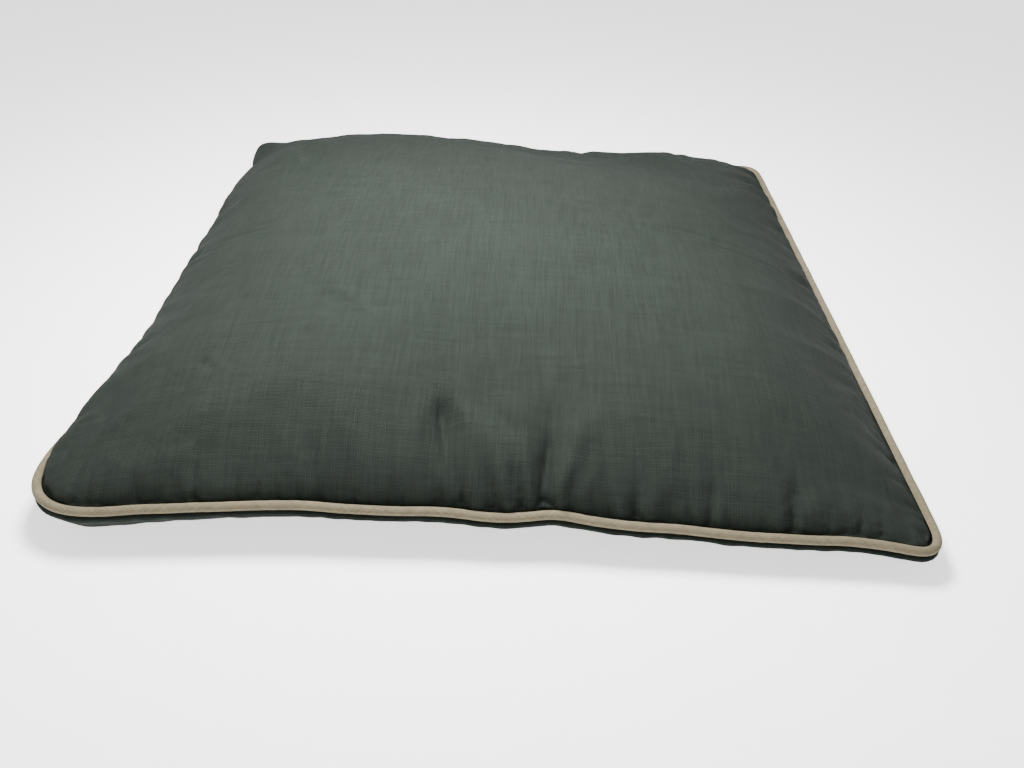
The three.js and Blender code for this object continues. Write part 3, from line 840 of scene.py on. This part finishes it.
# ---------- The zip ----------
def grown(name, tree, values, finish):
    """A plain mesh piece grown by a node tree. values are the tree's named inputs."""
    data = bpy.data.meshes.new(name + "_seed")
    seed = in_scene(data.name, data)
    grower = seed.modifiers.new("growth", "NODES")
    grower.node_group = tree
    for socket in tree.interface.items_tree:
        if socket.in_out == "INPUT" and socket.name in values:
            grower[socket.identifier] = values[socket.name]
    mesh = dressed(plain_mesh(seed), finish)
    mesh.name = name
    piece = in_scene(name, mesh)
    bpy.data.objects.remove(seed)
    bpy.data.meshes.remove(data)
    return piece


def growth_tree(name, **inputs):
    """An empty geometry node tree with these named inputs, each a number or three numbers."""
    tree = bpy.data.node_groups.new(name, "GeometryNodeTree")
    for label, value in inputs.items():
        kind = "NodeSocketVector" if isinstance(value, tuple) else "NodeSocketFloat"
        tree.interface.new_socket(label.replace("_", " "), in_out="INPUT", socket_type=kind)
    tree.interface.new_socket("Geometry", in_out="OUTPUT", socket_type="NodeSocketGeometry")
    entry = tree.nodes.new("NodeGroupInput")
    return tree, entry.outputs


def close_tree(tree, geometry):
    """Ends a tree in plain, smooth geometry."""
    smooth = add(tree, "GeometryNodeSetShadeSmooth", {"Geometry": geometry})
    plain = add(tree, "GeometryNodeRealizeInstances", {"Geometry": smooth})
    add(tree, "NodeGroupOutput", {0: plain})


COIL = {"Pitch": 1.5 * MM, "Filament": 0.29 * MM}


def coil_tree():
    """A flattened helix of one filament along X, which is one side of a coil zip."""
    tree, size = growth_tree("zip_coil", Turns=0.0, Length=0.0, Half_height=0.0, Half_depth=0.0,
                             Filament=0.0, Start=(0.0, 0.0, 0.0))
    helix = add(tree, "GeometryNodeCurveSpiral", {"Resolution": 8, "Rotations": size["Turns"],
                                                  "Start Radius": 1.0, "End Radius": 1.0,
                                                  "Height": size["Length"]})
    flattening = add(tree, "ShaderNodeCombineXYZ", {0: size["Half height"], 1: size["Half depth"], 2: 1.0})
    flat = add(tree, "GeometryNodeTransform", {"Geometry": helix, "Scale": flattening})
    laid = add(tree, "GeometryNodeTransform", {"Geometry": flat, "Rotation": (0, math.pi / 2, 0),
                                               "Translation": size["Start"]})
    section = add(tree, "GeometryNodeCurvePrimitiveCircle", {"Resolution": 6, "Radius": size["Filament"]})
    wire = add(tree, "GeometryNodeCurveToMesh", {"Curve": laid, "Profile Curve": section,
                                                 "Fill Caps": True})
    close_tree(tree, wire)
    return tree


def stitch_tree():
    """Stitches spaced round an upright rectangle that faces the rear."""
    tree, size = growth_tree("stitch_run", Length=0.0, Height=0.0, Spacing=0.0, Stitch=0.0, Thread=0.0,
                             Middle=(0.0, 0.0, 0.0))
    frame_line = add(tree, "GeometryNodeCurvePrimitiveQuadrilateral", {"Width": size["Length"],
                                                                       "Height": size["Height"]})
    upright = add(tree, "GeometryNodeTransform", {"Geometry": frame_line, "Rotation": (math.pi / 2, 0, 0),
                                                  "Translation": size["Middle"]})
    spaced = add(tree, "GeometryNodeResampleCurve", {"Curve": upright, "Length": size["Spacing"]},
                 mode="LENGTH")
    bead = add(tree, "GeometryNodeMeshUVSphere", {"Segments": 6, "Rings": 5, "Radius": 1.0})
    tangent = add(tree, "GeometryNodeInputTangent")
    facing = add(tree, "FunctionNodeAlignRotationToVector", {"Vector": tangent}, axis="X")
    half = add(tree, "ShaderNodeMath", {0: size["Stitch"], 1: 0.5}, operation="MULTIPLY")
    shape = add(tree, "ShaderNodeCombineXYZ", {0: half, 1: size["Thread"], 2: size["Thread"]})
    sewn = add(tree, "GeometryNodeInstanceOnPoints", {"Points": spaced, "Instance": bead,
                                                      "Rotation": facing, "Scale": shape})
    close_tree(tree, sewn)
    return tree


def make_zip(linen_thread):
    """Two coils that mesh at the zip's middle, the stitches that hold the tapes, and metal parts."""
    nylon, tape_finish, zinc = nylon_monofilament(), polyester_tape(), die_cast_zinc()
    tree = coil_tree()
    length = teeth_high.x - teeth_low.x
    reach = teeth_high.z - ZIP_Z
    inner = 0.35 * MM  # each coil's heads pass the zip's middle by this much
    half_height = (reach + inner) / 2
    half_depth = (teeth_high.y - teeth_low.y) / 2 - COIL["Filament"]
    for name, sign in (("upper", 1), ("lower", -1)):
        shift = COIL["Pitch"] / 2 if sign < 0 else 0.0
        start = (teeth_low.x + shift, (teeth_low.y + teeth_high.y) / 2,
                 ZIP_Z + sign * (reach - half_height))
        values = {"Turns": (length - shift) / COIL["Pitch"], "Length": length - shift,
                  "Half height": half_height - COIL["Filament"], "Half depth": half_depth,
                  "Filament": COIL["Filament"], "Start": start}
        coil = grown(f"zip_coil_{name}", tree, values, nylon)
        sewn_in(coil, "cushion", "zip_nylon", f"zip_teeth_{name}")
    stitches = grown("slot_stitches", stitch_tree(), {
        "Length": 2 * SLOT_HALF_LENGTH + 6 * MM, "Height": 2 * SLOT_HALF_HEIGHT + 4.6 * MM,
        "Spacing": 3.2 * MM, "Stitch": 2.5 * MM, "Thread": 0.24 * MM,
        "Middle": (0.0, underside_high.y + 0.05 * MM, ZIP_Z)}, linen_thread)
    sewn_in(stitches, "cushion", "cover_cloth")
    for node_name, finish in (("zip_tape_upper", tape_finish), ("zip_tape_lower", tape_finish),
                              ("zip_top_stop_upper", zinc), ("zip_top_stop_lower", zinc),
                              ("zip_bottom_stop", zinc)):
        dressed(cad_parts[node_name].data, finish)
    for node_name, bevel in (("zip_slider", 0.22 * MM), ("zip_pull", 0.18 * MM)):
        softened_copy(node_name, bevel, zinc)


def softened_copy(node_name, bevel, finish):
    """A frame node's shape with its edges rounded as a casting's are."""
    copied = dressed(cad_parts[node_name].data.copy(), finish)
    piece = in_scene(node_name + "_cast", copied)
    weld = piece.modifiers.new("weld", "WELD")
    weld.merge_threshold = 0.01 * MM
    whole_faces = piece.modifiers.new("whole_faces", "DECIMATE")
    whole_faces.decimate_type, whole_faces.angle_limit = "DISSOLVE", math.radians(0.5)
    rounding = piece.modifiers.new("rounding", "BEVEL")
    rounding.width, rounding.segments, rounding.limit_method = bevel, 2, "ANGLE"
    rounding.angle_limit = math.radians(40)
    piece.data = plain_mesh(piece)
    piece.modifiers.clear()
    piece.data.name = piece.name
    sewn_in(piece, node_name, "zip_metal", node_name)


# ---------- Camera, light and floor ----------
def make_camera():
    focal_pixels, frame_width = 918.8, 1024
    place = Vector((0.015, -0.734, 0.461))
    yaw, pitch, roll = (math.radians(angle) for angle in (0.12, 36.14, 1.96))
    forward = Vector((math.sin(yaw) * math.cos(pitch), math.cos(yaw) * math.cos(pitch), -math.sin(pitch)))
    level = Vector((math.cos(yaw), -math.sin(yaw), 0))
    upright = level.cross(forward)
    right = level * math.cos(roll) + upright * math.sin(roll)
    up = upright * math.cos(roll) - level * math.sin(roll)
    data = bpy.data.cameras.new("camera")
    data.lens = focal_pixels * data.sensor_width / frame_width
    camera = in_scene("camera", data)
    turn = Matrix((right, up, -forward)).transposed().to_4x4()
    camera.matrix_world = Matrix.Translation(place) @ turn
    bpy.context.scene.camera = camera


def softbox(name, place, size, power, colour):
    data = bpy.data.lights.new(name, "AREA")
    data.shape = "RECTANGLE"
    data.size, data.size_y = size
    data.energy = power
    data.color = linear(colour)[:3]
    lamp = in_scene(name, data)
    lamp.location = place
    lamp.rotation_euler = (Vector((0, 0, 0.05)) - lamp.location).to_track_quat("-Z", "Y").to_euler()


def white_paper():
    """White backdrop paper with the faintest grain and a painted glow: the paper itself emits light,
    brightest on the floor and dimmer up the wall.
    """
    made, tree, shader = finish_named("white_backdrop_paper", 0.9, Specular_IOR_Level=0.2)
    place = add(tree, "ShaderNodeTexCoord", output="Object")
    grain = add(tree, "ShaderNodeTexNoise", {"Vector": place, "Scale": 30.0})
    tone = add(tree, "ShaderNodeValToRGB", {"Fac": grain}, stops=((0.0, "#f5f5f4"), (1.0, "#fbfbfa")))
    tree.links.new(tone, shader.inputs["Base Color"])
    # Painted glow: the paper emits white light at strength 1.3 up to 0.2 m high, fading to 0.3 at 1 m, and
    # so also lights the cushion from below and around.
    shader.inputs["Emission Color"].default_value = linear("#ffffff")
    up = add(tree, "ShaderNodeSeparateXYZ", {"Vector": place}, output="Z")
    painted_glow = add(tree, "ShaderNodeMapRange", {"Value": up, "From Min": 0.2, "From Max": 1.0, "To Min": 1.3,
                                            "To Max": 0.3})
    tree.links.new(painted_glow, shader.inputs["Emission Strength"])
    return made


def make_floor():
    """A round white floor that curves up into a low wall."""
    flat_reach, bend, wall, drop, spokes = 2.4, 1.6, 2.6, -0.4 * MM, 64
    turn = np.linspace(0, math.pi / 2, 12)
    radii = np.concatenate([[0.6, 1.5], flat_reach + bend * np.sin(turn), [flat_reach + bend]])
    heights = np.concatenate([[0, 0], bend * (1 - np.cos(turn)), [wall]]) + drop
    around = np.linspace(0, TAU, spokes, endpoint=False)
    points = np.stack([radii[:, None] * np.cos(around), radii[:, None] * np.sin(around),
                       np.repeat(heights[:, None], spokes, 1)], axis=2).reshape(-1, 3)
    faces = quads(len(radii), spokes, ring=True)[:, ::-1].tolist() + [list(range(spokes))]
    floor = cloth_mesh("studio_floor", points, faces, points[:, :2], white_paper())


def make_studio():
    """A softbox close above the cushion's middle, with a weak fill low in front and to the left."""
    softbox("overhead_softbox", (-0.06, -0.02, 0.64), (0.25, 0.25), 22.5, "#ffffff")
    softbox("front_fill", (-1.1, -1.7, 0.45), (0.8, 0.6), 7, "#fff8ee")
    world = bpy.data.worlds.new("studio")
    world.use_nodes = True
    background = world.node_tree.nodes["Background"]
    background.inputs["Color"].default_value = linear("#f4f6f7")
    background.inputs["Strength"].default_value = 0.3
    bpy.context.scene.world = world
    make_floor()


# ---------- Putting it together ----------
make_camera()
make_studio()
linen = linen_cover()
top_panel, top_points, top_cloth = make_top_panel(linen)
underside = make_underside(linen)
casing = make_pad(top_points, calico(), polyester_fibre())
make_piping(bias_cotton(), cotton_cord())
make_zip(sewing_thread())
sewn_in(top_panel, "cushion", "cover_cloth", "top_panel")
sewn_in(underside, "cushion", "cover_cloth", "underside_panel")
half_count = len(top_cloth) // 2
cut = [float(np.ptp(top_cloth[:, half_count, 0])), float(np.ptp(top_cloth[half_count, :, 1]))]
cut = [side + 2 * ALLOWANCE for side in cut]
